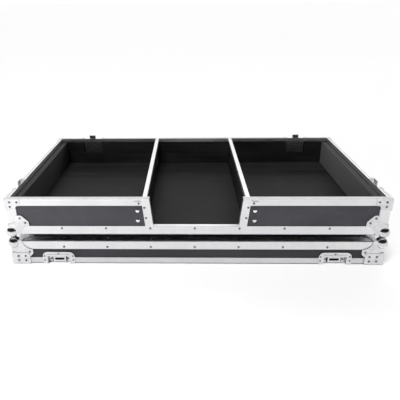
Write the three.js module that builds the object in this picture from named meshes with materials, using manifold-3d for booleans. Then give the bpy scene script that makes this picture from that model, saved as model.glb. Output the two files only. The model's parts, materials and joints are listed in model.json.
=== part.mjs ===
// Coffin case for two decks and a mixer: a shallow base that stands open on top of its own lid.
// Millimetres, +Z up, X to the right, Y to the back, the origin on the floor under the middle.

import * as THREE from "three";
import { mergeVertices } from "three/addons/utils/BufferGeometryUtils.js";
import Module from "manifold-3d";

const wasm = await Module();
wasm.setup();

// Driving sizes, over the metal edging
const case_width = 1086;
const case_depth = 596;
const base_height = 114.2;
const lid_height = 76.8;
const mixer_bay_width = 281;

// Sheets, skins and clearances
const panel_thickness = 9;
const metal = 1.5;
const joint_gap = 0.3;
const overrun = 5;
const weld_distance = 0.0005;

// Edging
const angle_leg = 27.5;
const upright_leg = 30;
const edge_round = 3;
const corner_round = 3.5;
const corner_steps = 4;
const base_rim_face = 22.2;
const lid_rim_face = 20.8;
const rim_inner_flange = 14;
const rim_web = 3;
const rim_round = 2;
const groove_width = 3;
const groove_depth = 1.5;
const tongue_clearance = 0.2;

// Ball corners
const ball_radius = 17.9;
const ball_inset = 7;
const ball_reach = 10.5;
const ball_segments = 20;
const ball_plate_reach = 62;
const ball_plate_waist = 33;
const ball_plate_lobe = 42;
const ball_lobe_round = 8;
const ball_lobe_steps = 3;
const plate_arc_steps = 5;

// Corner braces on the rims
const brace_drop = 1;
const base_brace_reach = 43;
const base_brace_arm = 22;
const base_brace_width = 29.5;
const base_brace_height = 36;
const base_brace_chamfer = 3;
const base_brace_fillet = 5;
const lid_brace_reach = 51;
const lid_brace_height = 37;
const lid_brace_chamfer = 6;

// Front access opening and its trims
const opening_margin = 9;
const opening_taper = 9.5;
const trim_width = 23;
const trim_ear_reach = 20;
const trim_ear_drop = 8;
const trim_back_flange = 6;
const trim_lap = 2;

// Latches and their keepers
const latch_width = 95;
const latch_round = 15;
const dish_height = 66;
const keeper_height = 38.8;
const pan_width = 66;
const pan_border = 8;
const pan_wall = 1.2;
const wall_pocket_room = 3;
const back_latch_setback = 136;
const side_latch_setback = 113;
const spindle_drop = 34;
const spindle_radius = 4;
const wing_length = 44;
const wing_width = 20;
const wing_waist = 12;
const wing_face = 0.4;
const wing_thickness = 3;
const wing_rib = 1;
const claw_width = 24;
const claw_rise = 12.5;
const claw_travel = 6;
const claw_tail = 10;
const claw_front = 3.7;
const claw_thickness = 2.7;
const hook_height = 2;
const hook_length = 2.6;
const guide_border = 3;
const strike_width = 40;
const strike_near = 4;
const strike_far = 10;
const slot_width = 25;
const slot_height = 4.5;

// Side handles
const handle_width = 142;
const handle_margin = 1.2;
const handle_corner = 8;
const handle_side_border = 14;
const handle_border = 8;
const handle_pan_depth = 22;
const bail_radius = 4.5;
const bail_side_room = 9;
const bail_foot_room = 5.5;
const bail_axis_drop = 6;
const bail_axis_depth = 8;
const bail_pin_radius = 2.5;
const bail_pin_wall = 0.7;
const bail_sides = 10;
const bail_steps = 28;

// Foam lining
const side_foam = 20;
const foam_below_flange = 2;

// Cable passages through the dividers
const passage_width = 70;
const passage_height = 45;
const passage_setback = 45;
const passage_sill = 18;
const passage_steps = 5;

// Worked out from the above
const skin = metal + joint_gap;
const rim_width = 2 * skin + panel_thickness;
const half_width = case_width / 2;
const half_depth = case_depth / 2;
const inner_half_width = half_width - skin - panel_thickness;
const inner_half_depth = half_depth - skin - panel_thickness;
const floor_top = skin + panel_thickness;
const trim_room = metal + joint_gap;
const tongue_height = groove_depth - joint_gap;
const stack_gap = 2 * ball_reach + joint_gap;
const base_bottom = lid_height + stack_gap;
const opening_top_width = mixer_bay_width - 2 * opening_margin;
const pan_depth = floor_top - joint_gap - pan_wall;
const pocket_depth = floor_top + joint_gap + joint_gap / 2;
const base_rim_top = base_height;
const lid_rim_top = lid_height - tongue_height;
const handle_centre = (base_height - base_rim_face + angle_leg) / 2;
const handle_height = base_height - base_rim_face - angle_leg - 2 * handle_margin;
const handle_pan_width = handle_width - 2 * handle_side_border;
const handle_pan_height = handle_height - 2 * handle_border;
const bail_span = handle_pan_width - 2 * bail_side_room;
const bail_axis_rise = handle_pan_height / 2 - bail_axis_drop;
const bail_drop = handle_pan_height - bail_axis_drop - bail_radius - bail_foot_room;
const side_latch_place = half_depth - side_latch_setback;
const back_latch_place = half_width - back_latch_setback;

const RIGHT = new THREE.Vector3(1, 0, 0);
const LEFT = new THREE.Vector3(-1, 0, 0);
const BACK = new THREE.Vector3(0, 1, 0);
const UP = new THREE.Vector3(0, 0, 1);
const DOWN = new THREE.Vector3(0, 0, -1);

// Solids: every helper returns a closed, indexed geometry with positions only

function weld(geometry) {
  geometry.deleteAttribute("normal");
  geometry.deleteAttribute("uv");
  return mergeVertices(geometry, weld_distance);
}

function toSolid(geometry) {
  return new wasm.Manifold(new wasm.Mesh({
    numProp: 3,
    vertProperties: new Float32Array(geometry.attributes.position.array),
    triVerts: new Uint32Array(geometry.index.array),
  }));
}

function toGeometry(solid) {
  const mesh = solid.getMesh();
  const geometry = new THREE.BufferGeometry();
  geometry.setAttribute("position", new THREE.BufferAttribute(mesh.vertProperties, 3));
  geometry.setIndex(new THREE.BufferAttribute(mesh.triVerts, 1));
  return geometry;
}

function join(first, ...others) {
  return toGeometry(others.reduce((solid, other) => solid.add(toSolid(other)), toSolid(first)));
}

function cut(first, ...others) {
  return toGeometry(others.reduce((solid, other) => solid.subtract(toSolid(other)), toSolid(first)));
}

// Applies a matrix and turns the faces over again where it mirrors
function mapped(geometry, matrix) {
  const copy = geometry.clone().applyMatrix4(matrix);
  if (matrix.determinant() < 0) {
    const corners = copy.index.array;
    for (let i = 0; i < corners.length; i += 3) {
      const second = corners[i + 1];
      corners[i + 1] = corners[i + 2];
      corners[i + 2] = second;
    }
  }
  return copy;
}

function scaled(geometry, sx, sy, sz) {
  return mapped(geometry, new THREE.Matrix4().makeScale(sx, sy, sz));
}

function moved(geometry, x, y, z) {
  return geometry.clone().translate(x, y, z);
}

function block(x0, x1, y0, y1, z0, z1) {
  const geometry = new THREE.BoxGeometry(x1 - x0, y1 - y0, z1 - z0);
  return weld(geometry.translate((x0 + x1) / 2, (y0 + y1) / 2, (z0 + z1) / 2));
}

// A block centred on the Z axis in plan
function centredBlock(width, depth, z0, z1) {
  return block(-width / 2, width / 2, -depth / 2, depth / 2, z0, z1);
}

// A plate with its outline on two directions and its thickness along a third
function plateOn(outline, thickness, origin, along, up, inward) {
  const shape = new THREE.Shape(outline.map(([a, b]) => new THREE.Vector2(a, b)));
  const geometry = new THREE.ExtrudeGeometry(shape, { depth: thickness, bevelEnabled: false });
  const matrix = new THREE.Matrix4().makeBasis(along, up, inward).setPosition(origin);
  return mapped(weld(geometry), matrix);
}

// A plate seen from the front: an outline in X and Z, from y0 back to y1
function frontPlate(outline, y0, y1) {
  return plateOn(outline, y1 - y0, new THREE.Vector3(0, y0, 0), RIGHT, UP, BACK);
}

function cylinderAlong(direction, radius, length, sides) {
  const geometry = new THREE.CylinderGeometry(radius, radius, length, sides);
  const turn = new THREE.Quaternion().setFromUnitVectors(BACK, direction);
  return weld(geometry.applyQuaternion(turn));
}

function arcPoints(cx, cy, radius, from, to, steps) {
  const points = [];
  for (let step = 0; step <= steps; step += 1) {
    const angle = from + ((to - from) * step) / steps;
    points.push([cx + radius * Math.cos(angle), cy + radius * Math.sin(angle)]);
  }
  return points;
}

// The outline of a rectangle with round corners about a centre
function roundedOutline(cx, cy, width, height, radius, steps) {
  const quarter = Math.PI / 2;
  const corners = [[1, 1], [-1, 1], [-1, -1], [1, -1]];
  return corners.flatMap(([sx, sy], turn) => arcPoints(
    cx + sx * (width / 2 - radius),
    cy + sy * (height / 2 - radius),
    radius,
    turn * quarter,
    (turn + 1) * quarter,
    steps,
  ));
}

// A solid through level, convex rings listed from the lowest up
function loft(rings) {
  const count = rings[0].length;
  const index = [];
  for (let level = 0; level + 1 < rings.length; level += 1) {
    for (let i = 0; i < count; i += 1) {
      const a = level * count + i;
      const b = level * count + ((i + 1) % count);
      index.push(a, b, b + count, a, b + count, a + count);
    }
  }
  const top = (rings.length - 1) * count;
  for (let i = 1; i + 1 < count; i += 1) {
    index.push(0, i + 1, i, top, top + i, top + i + 1);
  }
  const geometry = new THREE.BufferGeometry();
  geometry.setAttribute("position", new THREE.Float32BufferAttribute(rings.flat(2), 3));
  geometry.setIndex(index);
  return geometry;
}

function planRing(inset, round, z) {
  const width = case_width - 2 * inset;
  const depth = case_depth - 2 * inset;
  return roundedOutline(0, 0, width, depth, round - inset, corner_steps).map(([x, y]) => [x, y, z]);
}

// The outer form of one half with its closed side down, grown all round by a clearance
function shellForm(grow, height) {
  const rings = [];
  for (let step = 0; step <= corner_steps; step += 1) {
    const angle = (step / corner_steps) * (Math.PI / 2);
    const inset = edge_round * (1 - Math.sin(angle)) - grow;
    rings.push(planRing(inset, corner_round, edge_round * (1 - Math.cos(angle)) - grow));
  }
  rings.push(planRing(-grow, corner_round, height));
  return loft(rings);
}

// The outer form of a rim, its upper edge rounded
function rimForm(low, top) {
  const rings = [planRing(0, corner_round, low)];
  for (let step = 0; step <= corner_steps; step += 1) {
    const angle = (step / corner_steps) * (Math.PI / 2);
    const inset = rim_round * (1 - Math.cos(angle));
    rings.push(planRing(inset, corner_round, top - rim_round * (1 - Math.sin(angle))));
  }
  return loft(rings);
}

// A band round the plan, between two distances in from the outer faces
function bandBlock(outer_inset, inner_inset, z0, z1) {
  const outer = centredBlock(case_width - 2 * outer_inset, case_depth - 2 * outer_inset, z0, z1);
  const inner = centredBlock(
    case_width - 2 * inner_inset,
    case_depth - 2 * inner_inset,
    z0 - overrun,
    z1 + overrun,
  );
  return cut(outer, inner);
}

// Faces: a piece drawn on the plane y = 0, outward along -Y, is set on one side of the case
const faces = {
  front: { turn: 0, reach: half_depth },
  right: { turn: Math.PI / 2, reach: half_width },
  back: { turn: Math.PI, reach: half_depth },
  left: { turn: -Math.PI / 2, reach: half_width },
};

function onFace(geometry, seat) {
  const { turn, reach } = faces[seat.face];
  return geometry.clone().translate(seat.along, -reach, seat.up).rotateZ(turn);
}

// Seats of the latches on the base and of the keepers on the lid, which is turned half round
const latch_seats = [
  { name: "back_left", face: "back", along: back_latch_place, up: base_rim_top },
  { name: "back_right", face: "back", along: -back_latch_place, up: base_rim_top },
  { name: "left", face: "left", along: side_latch_place, up: base_rim_top },
  { name: "right", face: "right", along: -side_latch_place, up: base_rim_top },
];
const keeper_seats = [
  { name: "front_left", face: "front", along: -back_latch_place, up: lid_rim_top },
  { name: "front_right", face: "front", along: back_latch_place, up: lid_rim_top },
  { name: "left", face: "left", along: -side_latch_place, up: lid_rim_top },
  { name: "right", face: "right", along: side_latch_place, up: lid_rim_top },
];
const handle_seats = [
  { name: "left", face: "left", along: 0, up: handle_centre },
  { name: "right", face: "right", along: 0, up: handle_centre },
];

// The room that a latch's or keeper's pan takes in a wall or a rim
function latchPocket(height, side_room) {
  const half = pan_width / 2 + pan_wall + side_room;
  const low = height - pan_border + pan_wall + joint_gap;
  return block(-half, half, -overrun, pocket_depth, -low, overrun);
}

function handlePocket() {
  const half = handle_pan_width / 2 + pan_wall + joint_gap;
  const rise = handle_pan_height / 2 + pan_wall + joint_gap;
  const deep = handle_pan_depth + pan_wall + joint_gap;
  return block(-half, half, -overrun, deep, -rise, rise);
}

// Half the width of the opening in the base's front
function openingHalf(z) {
  const slope = opening_taper / (base_height - angle_leg);
  return opening_top_width / 2 - slope * (base_height - z);
}

// A plate that fills the opening between two heights, wider by some room on each side
function openingPlate(room, low, high, y0, y1) {
  return frontPlate([
    [-openingHalf(low) - room, low],
    [openingHalf(low) + room, low],
    [openingHalf(high) + room, high],
    [-openingHalf(high) - room, high],
  ], y0, y1);
}

// What the opening takes from the front wall and the rim, with room for its trims
function openingCutter() {
  const back = -half_depth + rim_width + overrun;
  return openingPlate(trim_room, 0, base_height + overrun, -half_depth - overrun, back);
}

// One half of the case with its closed side down: five panels, the edging and the rim
function closedPanel() {
  const width = case_width - 2 * skin;
  return centredBlock(width, case_depth - 2 * skin, skin, floor_top);
}

function wallPanels(rim_top) {
  const low = floor_top + joint_gap;
  const high = rim_top - rim_web - joint_gap;
  const out_x = half_width - skin;
  const out_y = half_depth - skin;
  const side_y = inner_half_depth - joint_gap;
  return {
    front: block(-out_x, out_x, -out_y, -inner_half_depth, low, high),
    back: block(-out_x, out_x, inner_half_depth, out_y, low, high),
    left: block(-out_x, -inner_half_width, -side_y, side_y, low, high),
    right: block(inner_half_width, out_x, -side_y, side_y, low, high),
  };
}

// The front wall's right-hand half, up to the opening
function frontHalfPanel() {
  const far = block(-case_width, 0, -case_depth, 0, 0, base_height);
  return cut(wallPanels(base_rim_top).front, openingCutter(), far);
}

// Sill bar under the opening: the strip of wall there, with its cover
function openingSill() {
  const low = floor_top + joint_gap;
  return openingPlate(trim_room - joint_gap, low, angle_leg, -half_depth + skin, -half_depth + rim_width);
}

function withPockets(geometry, seats, pocket) {
  return seats.reduce((rest, seat) => cut(rest, onFace(pocket, seat)), geometry);
}

function angleFrame(height, rim_face) {
  const top = height - rim_face - joint_gap;
  const past = 2 * overrun;
  return cut(
    shellForm(0, top),
    centredBlock(case_width - 2 * metal, case_depth - 2 * metal, metal, top + overrun),
    centredBlock(case_width - 2 * angle_leg, case_depth - 2 * angle_leg, -overrun, overrun),
    centredBlock(case_width - 2 * upright_leg, case_depth + past, angle_leg, top + overrun),
    centredBlock(case_width + past, case_depth - 2 * upright_leg, angle_leg, top + overrun),
  );
}

function rimFrame(rim_top, low) {
  const inner_flange_foot = rim_top - rim_inner_flange;
  const flange_inset = rim_width - metal;
  const under = low - overrun;
  return cut(
    rimForm(low, rim_top),
    centredBlock(case_width - 2 * rim_width, case_depth - 2 * rim_width, under, rim_top + overrun),
    bandBlock(metal, flange_inset, under, rim_top - rim_web),
    bandBlock(flange_inset - joint_gap, rim_width + overrun, under, inner_flange_foot),
  );
}

function rimBand(width, z0, z1) {
  return bandBlock((rim_width - width) / 2, (rim_width + width) / 2, z0, z1);
}

// Ball corner, drawn at the front right of a half with its closed side down
function ballPlateOutline(grow) {
  const reach = ball_plate_reach + skin + grow;
  const waist = ball_plate_waist + skin + grow;
  const lobe = ball_plate_lobe + skin + grow;
  const radius = reach - waist;
  const quarter = Math.PI / 2;
  const far = reach - ball_lobe_round;
  const near = lobe - ball_lobe_round * Math.tan(quarter / 4);
  return [
    [0, 0],
    ...arcPoints(reach, 0, radius, 2 * quarter, quarter, plate_arc_steps),
    ...arcPoints(far, near, ball_lobe_round, 0, quarter / 2, ball_lobe_steps),
    ...arcPoints(near, far, ball_lobe_round, quarter / 2, quarter, ball_lobe_steps),
    ...arcPoints(0, reach, radius, 0, -quarter, plate_arc_steps),
  ];
}

function ballPlates(grow) {
  const proud = skin + grow;
  const corner = new THREE.Vector3(half_width + proud, -half_depth - proud, -proud);
  const outline = ballPlateOutline(grow);
  return join(
    plateOn(outline, proud, corner, LEFT, UP, BACK),
    plateOn(outline, proud, corner, BACK, UP, LEFT),
    plateOn(outline, proud, corner, LEFT, BACK, UP),
  );
}

function ballCorner() {
  const ball = weld(new THREE.SphereGeometry(ball_radius, ball_segments, ball_segments / 2));
  const half = 2 * ball_radius;
  return cut(
    join(
      moved(ball, half_width - ball_inset, -half_depth + ball_inset, ball_inset),
      ballPlates(0),
    ),
    shellForm(joint_gap, 2 * ball_plate_reach),
    moved(centredBlock(half, half, -half - ball_reach, -ball_reach), half_width, -half_depth, 0),
  );
}

// Rim brace, drawn at the front right; its outline runs along the rim and down from it
function rimBrace(outline, thickness, rim_top) {
  const proud = thickness + joint_gap;
  const corner = new THREE.Vector3(half_width + proud, -half_depth - proud, rim_top - brace_drop);
  return cut(
    join(
      plateOn(outline, proud, corner, LEFT, DOWN, BACK),
      plateOn(outline, proud, corner, BACK, DOWN, LEFT),
    ),
    shellForm(joint_gap, rim_top + overrun),
  );
}

function baseBrace() {
  const reach = base_brace_reach + skin;
  const width = base_brace_width + skin;
  const arm = base_brace_arm - brace_drop;
  const height = base_brace_height - brace_drop;
  const chamfer = base_brace_chamfer;
  const fillet = base_brace_fillet;
  return rimBrace([
    [0, 0],
    [reach, 0],
    [reach, arm - chamfer],
    [reach - chamfer, arm],
    [width + fillet, arm],
    [width, arm + fillet],
    [width, height - chamfer],
    [width - chamfer, height],
    [0, height],
  ], metal, base_rim_top);
}

// The lid's brace is thick enough to lap over the lobes of the ball corner beside it
function lidBrace() {
  const thickness = 2 * metal + joint_gap;
  const reach = lid_brace_reach + thickness + joint_gap;
  const height = lid_brace_height - brace_drop;
  const outline = [
    [0, 0],
    [reach, 0],
    [reach, height - lid_brace_chamfer],
    [reach - lid_brace_chamfer, height],
    [0, height],
  ];
  return cut(rimBrace(outline, thickness, lid_rim_top), ballPlates(joint_gap));
}

// Latch, drawn on the plane y = 0 with the rim's top at z = 0
function latchPlate(height) {
  const half = latch_width / 2;
  const turn_place = half - latch_round;
  const turn_height = latch_round - height;
  const quarter = Math.PI / 2;
  const outline = [
    [-half, 0],
    ...arcPoints(-turn_place, turn_height, latch_round, 2 * quarter, 3 * quarter, corner_steps),
    ...arcPoints(turn_place, turn_height, latch_round, 3 * quarter, 4 * quarter, corner_steps),
    [half, 0],
  ];
  const hollow = pan_width / 2;
  const shell = hollow + pan_wall;
  const low = pan_border - height;
  return cut(
    join(
      frontPlate(outline, -skin, -joint_gap),
      block(-shell, shell, -skin, pan_depth + pan_wall, low - pan_wall, 0),
    ),
    block(-hollow, hollow, -skin - overrun, pan_depth, low, overrun),
  );
}

function latchDish() {
  const half_guide = claw_width / 2 + guide_border;
  const guide_face = claw_front + claw_thickness + joint_gap;
  const guide_low = -spindle_drop - claw_tail - guide_border;
  return join(
    latchPlate(dish_height),
    block(-half_guide, half_guide, guide_face, pan_depth + pan_wall / 2, guide_low, -guide_border),
  );
}

function latchWing() {
  const reach = wing_length / 2;
  const half = wing_width / 2;
  const waist = wing_waist / 2;
  const lobe = reach - half;
  const quarter = Math.PI / 2;
  const outline = [
    ...arcPoints(lobe, 0, half, -quarter, quarter, corner_steps + corner_steps),
    [0, waist],
    ...arcPoints(-lobe, 0, half, quarter, 3 * quarter, corner_steps + corner_steps),
    [0, -waist],
  ];
  const spindle_end = claw_front + claw_thickness;
  const spindle_length = spindle_end - wing_face - wing_rib;
  const wing = join(
    frontPlate(outline, wing_face, wing_face + wing_thickness),
    moved(
      cylinderAlong(BACK, spindle_radius, spindle_length, 2 * bail_sides),
      0,
      spindle_end - spindle_length / 2,
      0,
    ),
    block(
      wing_rib - reach,
      reach - wing_rib,
      wing_face - wing_rib,
      wing_face + wing_rib,
      -wing_rib,
      wing_rib,
    ),
  );
  return moved(wing, 0, 0, -spindle_drop);
}

function latchClaw() {
  const half = claw_width / 2;
  const low = -spindle_drop - claw_tail;
  const back = claw_front + claw_thickness;
  const slot = spindle_radius + joint_gap;
  const quarter = Math.PI / 2;
  const slot_outline = [
    ...arcPoints(0, -spindle_drop + claw_travel, slot, 0, 2 * quarter, 2 * corner_steps),
    ...arcPoints(0, -spindle_drop, slot, 2 * quarter, 4 * quarter, 2 * corner_steps),
  ];
  return cut(
    join(
      block(-half, half, claw_front, back, low, claw_rise),
      block(-half, half, claw_front, back + hook_length, claw_rise - hook_height, claw_rise),
    ),
    frontPlate(slot_outline, claw_front - overrun, back + overrun),
  );
}

function latchKeeper() {
  const half_strike = strike_width / 2;
  const half_slot = slot_width / 2;
  const strike_face = claw_front + claw_thickness + joint_gap;
  const slot_high = -strike_far - joint_gap;
  return cut(
    join(
      latchPlate(keeper_height),
      block(-half_strike, half_strike, strike_face, pan_depth + pan_wall / 2, -strike_far, -strike_near),
    ),
    block(-half_slot, half_slot, pan_depth - joint_gap, floor_top, slot_high - slot_height, slot_high),
  );
}

// Handle, drawn on the plane y = 0 about the middle of its dish
function handleDish() {
  const pan_half = handle_pan_width / 2;
  const pan_rise = handle_pan_height / 2;
  const plate = roundedOutline(0, 0, handle_width, handle_height, handle_corner, corner_steps);
  return cut(
    join(
      frontPlate(plate, 0, metal),
      block(
        -pan_half - pan_wall,
        pan_half + pan_wall,
        0,
        handle_pan_depth + pan_wall,
        -pan_rise - pan_wall,
        pan_rise + pan_wall,
      ),
    ),
    block(-pan_half, pan_half, -overrun, handle_pan_depth, -pan_rise, pan_rise),
  );
}

function handleBail() {
  const arm = bail_span / 2;
  const pin_end = handle_pan_width / 2 - joint_gap;
  const pin_length = pin_end - arm;
  const bend = 2 * bail_radius;
  const path = new THREE.CurvePath();
  const high = bail_axis_rise + bail_pin_radius + bail_pin_wall;
  const low = bail_axis_rise - bail_drop;
  const inner = arm - bend;
  const knee = low + bend;
  const point = (x, z) => new THREE.Vector3(x, bail_axis_depth, z);
  path.add(new THREE.LineCurve3(point(-arm, high), point(-arm, knee)));
  path.add(new THREE.QuadraticBezierCurve3(point(-arm, knee), point(-arm, low), point(-inner, low)));
  path.add(new THREE.LineCurve3(point(-inner, low), point(inner, low)));
  path.add(new THREE.QuadraticBezierCurve3(point(inner, low), point(arm, low), point(arm, knee)));
  path.add(new THREE.LineCurve3(point(arm, knee), point(arm, high)));
  const section = new THREE.Shape(
    arcPoints(0, 0, bail_radius, 0, 2 * Math.PI, bail_sides).slice(0, bail_sides)
      .map(([x, y]) => new THREE.Vector2(x, y)),
  );
  const bar = weld(new THREE.ExtrudeGeometry(section, { steps: bail_steps, extrudePath: path }));
  const pins = [-1, 1].map((side) => moved(
    cylinderAlong(RIGHT, bail_pin_radius, pin_length, bail_sides),
    side * (arm + pin_length / 2),
    bail_axis_depth,
    bail_axis_rise,
  ));
  return join(bar, ...pins);
}

// Opening trim for the right-hand edge: a channel folded over the cut edge, with an ear on the rim
function openingTrim() {
  const foot = angle_leg - trim_lap;
  const ear_low = base_height - base_rim_face + metal;
  const ear_high = base_height - trim_ear_drop;
  const top_outer = openingHalf(base_height) + trim_width;
  const ear_end = top_outer + trim_ear_reach;
  const sill = angle_leg + joint_gap;
  const face = frontPlate([
    [openingHalf(foot), foot],
    [openingHalf(foot) + trim_width, foot],
    [openingHalf(ear_low) + trim_width, ear_low],
    [ear_end - metal, ear_low],
    [ear_end, ear_low + metal],
    [ear_end, ear_high - metal],
    [ear_end - metal, ear_high],
    [top_outer, ear_high],
    [top_outer, base_height],
    [openingHalf(base_height), base_height],
  ], -half_depth - skin, -half_depth - joint_gap);
  const back_plane = -half_depth + rim_width + joint_gap;
  const web = frontPlate([
    [openingHalf(sill), sill],
    [openingHalf(sill) + metal, sill],
    [openingHalf(base_height) + metal, base_height],
    [openingHalf(base_height), base_height],
  ], -half_depth - skin, back_plane + metal);
  const back = frontPlate([
    [openingHalf(sill), sill],
    [openingHalf(sill) + trim_back_flange, sill],
    [openingHalf(base_height) + trim_back_flange, base_height],
    [openingHalf(base_height), base_height],
  ], back_plane, back_plane + metal);
  return join(face, web, back);
}

// Divider between the mixer's bay and the right-hand deck's, and the channel over its top
function bayDivider() {
  const inner = mixer_bay_width / 2;
  const outer = inner + panel_thickness;
  const reach = inner_half_depth - joint_gap;
  const high = base_height - rim_web - joint_gap;
  const under_flange = base_height - rim_inner_flange - joint_gap;
  const passage = roundedOutline(
    reach - passage_setback - passage_width / 2,
    floor_top + passage_sill + passage_height / 2,
    passage_width,
    passage_height,
    passage_height / 2 - joint_gap,
    passage_steps,
  );
  const hole_origin = new THREE.Vector3(inner - overrun, 0, 0);
  return cut(
    block(inner, outer, -reach, reach, floor_top + joint_gap, high),
    plateOn(passage, panel_thickness + 2 * overrun, hole_origin, BACK, UP, RIGHT),
    bandBlock(0, rim_width + joint_gap, under_flange, base_height + overrun),
  );
}

function dividerCap() {
  const inner = mixer_bay_width / 2;
  const outer = inner + panel_thickness;
  const reach = half_depth - rim_width - joint_gap;
  const low = base_height - rim_inner_flange;
  return cut(
    block(inner - skin, outer + skin, -reach, reach, low, base_height),
    block(
      inner - joint_gap,
      outer + joint_gap,
      -reach - overrun,
      reach + overrun,
      low - overrun,
      base_height - rim_web,
    ),
  );
}

// Foam strip along the outer side of the right-hand deck's bay, cut out behind the handle
function deckFoam() {
  const out_x = inner_half_width - joint_gap;
  const out_y = inner_half_depth - joint_gap;
  const low = floor_top + joint_gap;
  const high = base_height - rim_inner_flange - foam_below_flange;
  const strip = block(out_x - side_foam, out_x, -out_y, out_y, low, high);
  return cut(strip, onFace(handlePocket(), handle_seats[1]));
}

// Finishes
const finishes = {
  laminate: { color: 0x3a3a3e, roughness: 0.6, metalness: 0 },
  aluminium: { color: 0xdcdde0, roughness: 0.4, metalness: 0.9 },
  zinc: { color: 0xc9ccd1, roughness: 0.2, metalness: 1 },
  foam: { color: 0x17171a, roughness: 0.95, metalness: 0 },
};

const coffin_case = new THREE.Group();
const base = new THREE.Group();
base.position.z = base_bottom;
coffin_case.add(base);

function addPiece(group, name, finish, geometry) {
  const shaded = geometry.toNonIndexed();
  shaded.computeVertexNormals();
  const mesh = new THREE.Mesh(shaded, new THREE.MeshStandardMaterial(finishes[finish]));
  mesh.name = name;
  group.add(mesh);
}

function addBase(name, finish, geometry) {
  addPiece(base, name, finish, geometry);
}

// The lid is drawn like the base, closed side down, and turned over here
function addLid(name, finish, geometry) {
  addPiece(coffin_case, name, finish, moved(scaled(geometry, 1, 1, -1), 0, 0, lid_height));
}

// The four corners, by the signs that carry the front right one there
const corners = [
  { name: "front_left", sx: -1, sy: 1 },
  { name: "front_right", sx: 1, sy: 1 },
  { name: "back_left", sx: -1, sy: -1 },
  { name: "back_right", sx: 1, sy: -1 },
];

function addCorners(add, kind, finish, geometry) {
  corners.forEach(({ name, sx, sy }) => add(`${kind}_${name}`, finish, scaled(geometry, sx, sy, 1)));
}

function addPair(kind, finish, geometry) {
  addBase(`${kind}_left`, finish, scaled(geometry, -1, 1, 1));
  addBase(`${kind}_right`, finish, geometry);
}

// Lid
const keeper_pocket = latchPocket(keeper_height, joint_gap);
const lid_walls = wallPanels(lid_rim_top);
addLid("lid_top_panel", "laminate", closedPanel());
Object.entries(lid_walls).forEach(([side, wall]) => {
  const seats = keeper_seats.filter((seat) => seat.face === side);
  addLid(`lid_${side}_panel`, "laminate", withPockets(wall, seats, keeper_pocket));
});
addLid("lid_angle_frame", "aluminium", angleFrame(lid_height, lid_rim_face));
const lid_rim = join(
  rimFrame(lid_rim_top, lid_height - lid_rim_face),
  rimBand(groove_width - 2 * tongue_clearance, lid_rim_top - rim_web / 2, lid_height),
);
addLid("lid_rim_frame", "aluminium", withPockets(lid_rim, keeper_seats, keeper_pocket));
addCorners(addLid, "lid_ball_corner", "zinc", ballCorner());
addCorners(addLid, "lid_rim_brace", "zinc", lidBrace());
const keeper = latchKeeper();
keeper_seats.forEach((seat) => addLid(`latch_keeper_${seat.name}`, "zinc", onFace(keeper, seat)));

// Base
const dish_pocket = latchPocket(dish_height, joint_gap);
const dish_wall_pocket = latchPocket(dish_height, wall_pocket_room);
const base_walls = wallPanels(base_rim_top);
addBase("base_floor_panel", "laminate", closedPanel());
addPair("base_front_panel", "laminate", frontHalfPanel());
["back", "left", "right"].forEach((side) => {
  const latches = latch_seats.filter((seat) => seat.face === side);
  const handles = handle_seats.filter((seat) => seat.face === side);
  const pocketed = withPockets(base_walls[side], latches, dish_wall_pocket);
  addBase(`base_${side}_panel`, "laminate", withPockets(pocketed, handles, handlePocket()));
});
addBase("base_angle_frame", "aluminium", angleFrame(base_height, base_rim_face));
const base_rim = cut(
  rimFrame(base_rim_top, base_height - base_rim_face),
  rimBand(groove_width, base_rim_top - groove_depth, base_rim_top + overrun),
  openingCutter(),
);
addBase("base_rim_frame", "aluminium", withPockets(base_rim, latch_seats, dish_pocket));
addCorners(addBase, "base_ball_corner", "zinc", ballCorner());
addCorners(addBase, "base_rim_brace", "zinc", baseBrace());
addPair("opening_trim", "aluminium", openingTrim());
addBase("opening_sill", "aluminium", openingSill());
addPair("bay_divider", "laminate", bayDivider());
addPair("divider_cap", "aluminium", dividerCap());
addPair("deck_bay_foam", "foam", deckFoam());
const dish = latchDish();
const wing = latchWing();
const claw = latchClaw();
latch_seats.forEach((seat) => {
  addBase(`latch_dish_${seat.name}`, "zinc", onFace(dish, seat));
  addBase(`latch_wing_${seat.name}`, "zinc", onFace(wing, seat));
  addBase(`latch_claw_${seat.name}`, "zinc", onFace(claw, seat));
});
handle_seats.forEach((seat) => {
  addBase(`handle_dish_${seat.name}`, "zinc", onFace(handleDish(), seat));
  addBase(`handle_bail_${seat.name}`, "zinc", onFace(handleBail(), seat));
});

export default coffin_case;
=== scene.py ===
import json
import math
import random

import bmesh
import bpy
from mathutils import Matrix, Vector

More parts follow.
